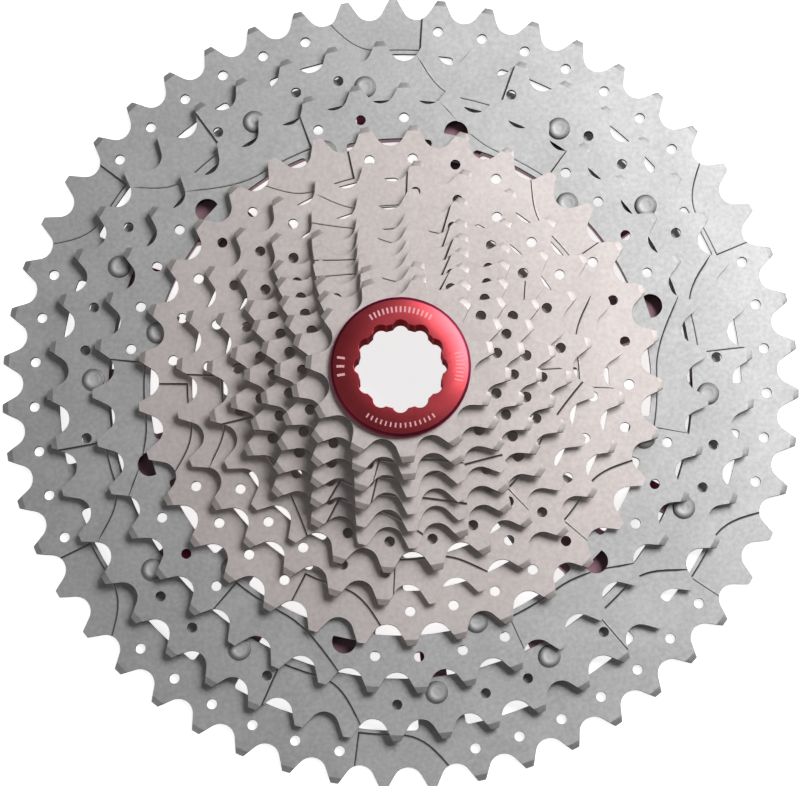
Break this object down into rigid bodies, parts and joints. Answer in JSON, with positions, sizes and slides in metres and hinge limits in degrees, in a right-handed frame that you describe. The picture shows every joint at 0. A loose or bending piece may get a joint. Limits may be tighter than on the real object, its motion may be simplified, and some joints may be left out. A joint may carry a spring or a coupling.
{
  "type": "cassette sprocket",
  "caption": "Stack of bicycle chain cogs that grow from small to large, on a splined bore, held by a red anodised threaded lockring",
  "frame": {"origin": "on the hub axis, in the face of the spider that rests on the shoulder of the freehub body", "axes": "+Z along the hub axis towards the lockring; +X at the narrow key of the splined bore"},
  "size_m": [0.2094, 0.2094, 0.0447],
  "materials": {
    "alloy_cog": "satin, bead blasted",
    "steel_cog": "satin nickel plate",
    "red_anodised": "satin red anodised",
    "dark_anodised": "black anodised",
    "rivet_steel": "plain steel",
    "spacer_alloy": "satin grey anodised",
    "washer_steel": "plain steel"
  },
  "bodies": {
    "large_cluster": {"spider": "red_anodised", "cog_51": "alloy_cog", "cog_45": "alloy_cog", "cog_39": "alloy_cog", "outer_rivets": "rivet_steel", "inner_rivets": "rivet_steel"},
    "middle_cluster": {"carrier": "dark_anodised", "cog_33": "steel_cog", "cog_28": "steel_cog", "carrier_rivets": "rivet_steel"},
    "cog_24_body": {"cog_24": "steel_cog"},
    "cog_21_body": {"cog_21": "steel_cog", "spacer_24_21": "spacer_alloy"},
    "cog_19_body": {"cog_19": "steel_cog", "spacer_21_19": "spacer_alloy"},
    "cog_17_body": {"cog_17": "steel_cog", "spacer_19_17": "spacer_alloy"},
    "cog_15_body": {"cog_15": "steel_cog", "spacer_17_15": "spacer_alloy"},
    "cog_13_body": {"cog_13": "steel_cog", "spacer_15_13": "spacer_alloy"},
    "cog_11_body": {"cog_11": "steel_cog"},
    "washer_body": {"lock_washer": "washer_steel"},
    "lockring_body": {"lockring": "red_anodised"}
  },
  "joints": [
    {"name": "middle_cluster_slide", "type": "slide", "parent": "large_cluster", "child": "middle_cluster", "axis": [0, 0, 1], "range_m": [0, 0.0304]},
    {"name": "cog_24_slide", "type": "slide", "parent": "middle_cluster", "child": "cog_24_body", "axis": [0, 0, 1], "range_m": [0, 0.0221]},
    {"name": "cog_21_slide", "type": "slide", "parent": "cog_24_body", "child": "cog_21_body", "axis": [0, 0, 1], "range_m": [0, 0.0204]},
    {"name": "cog_19_slide", "type": "slide", "parent": "cog_21_body", "child": "cog_19_body", "axis": [0, 0, 1], "range_m": [0, 0.0168]},
    {"name": "cog_17_slide", "type": "slide", "parent": "cog_19_body", "child": "cog_17_body", "axis": [0, 0, 1], "range_m": [0, 0.0131]},
    {"name": "cog_15_slide", "type": "slide", "parent": "cog_17_body", "child": "cog_15_body", "axis": [0, 0, 1], "range_m": [0, 0.0095]},
    {"name": "cog_13_slide", "type": "slide", "parent": "cog_15_body", "child": "cog_13_body", "axis": [0, 0, 1], "range_m": [0, 0.0058]},
    {"name": "cog_11_slide", "type": "slide", "parent": "cog_13_body", "child": "cog_11_body", "axis": [0, 0, 1], "range_m": [0, 0.0022]},
    {"name": "washer_slide", "type": "slide", "parent": "cog_11_body", "child": "washer_body", "axis": [0, 0, 1], "range_m": [0, 0.005]},
    {"name": "lockring_screw", "type": "hinge", "parent": "washer_body", "child": "lockring_body", "pos_m": [0, 0, 0.0395], "axis": [0, 0, 1], "range_deg": [0, 1800]}
  ],
  "couplings": [
    {"joint": "washer_slide", "follows": "lockring_screw", "m_per_rad": 0.00015915}
  ]
}
